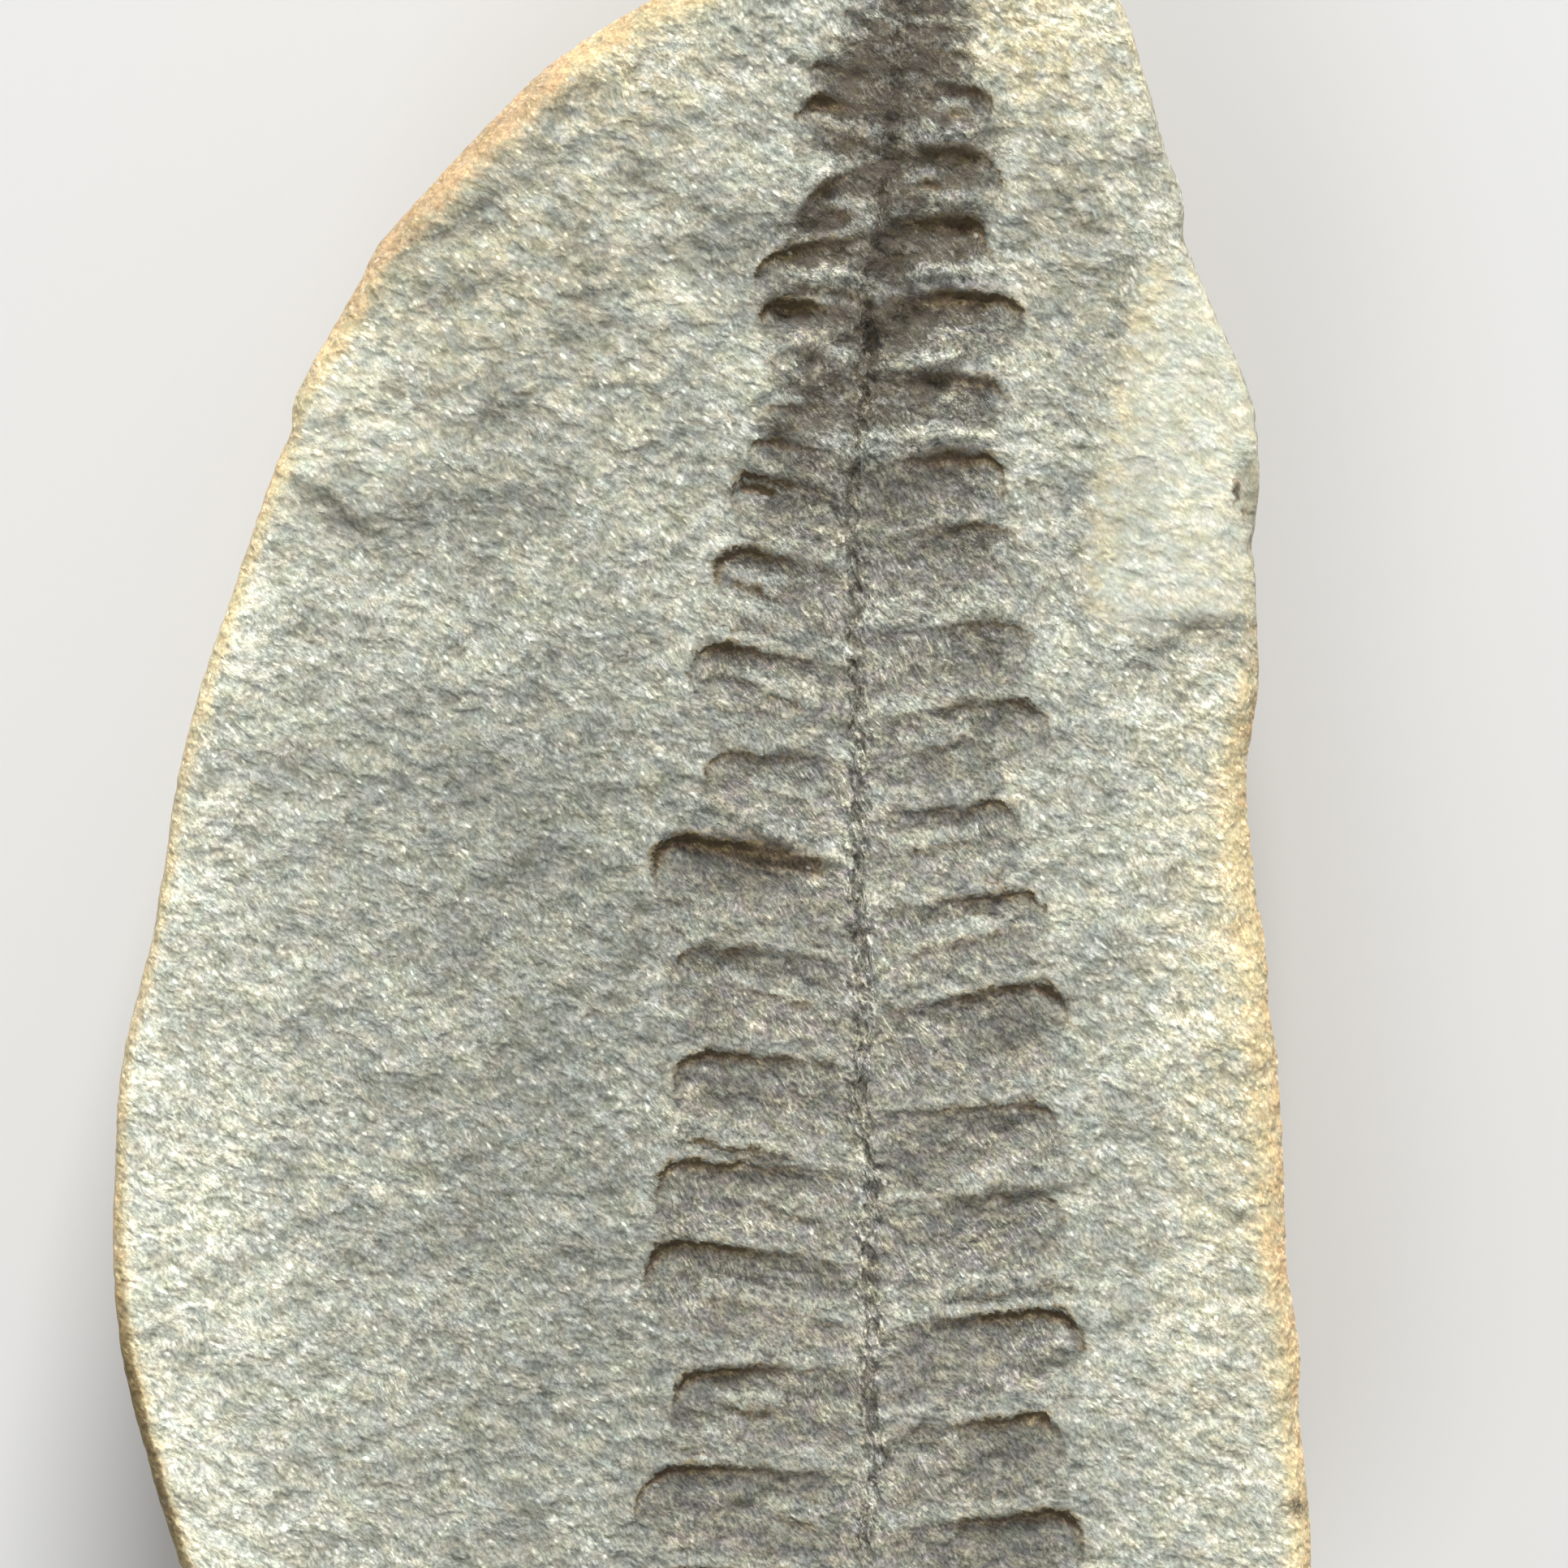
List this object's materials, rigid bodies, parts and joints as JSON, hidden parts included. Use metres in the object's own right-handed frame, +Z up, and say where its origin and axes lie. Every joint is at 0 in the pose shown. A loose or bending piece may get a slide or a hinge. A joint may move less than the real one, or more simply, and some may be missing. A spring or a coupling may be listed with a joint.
{
  "type": "fossil fern plate",
  "caption": "Half of a split ironstone nodule with the hollow print of a fern frond on its flat face, lying on its rounded back.",
  "frame": {"origin": "on the flat foot, under the centre of the outline's box", "axes": "+Z up out of the split face, +Y along the stone's length towards the frond's tip, +X to the right when the face is looked down on"},
  "size_m": [0.0401, 0.0685, 0.0122],
  "materials": {
    "stone": "matte, fine-grained grey split face with a tan to brown rind"
  },
  "bodies": {
    "root": {"fossil_stone": "stone"}
  },
  "joints": []
}
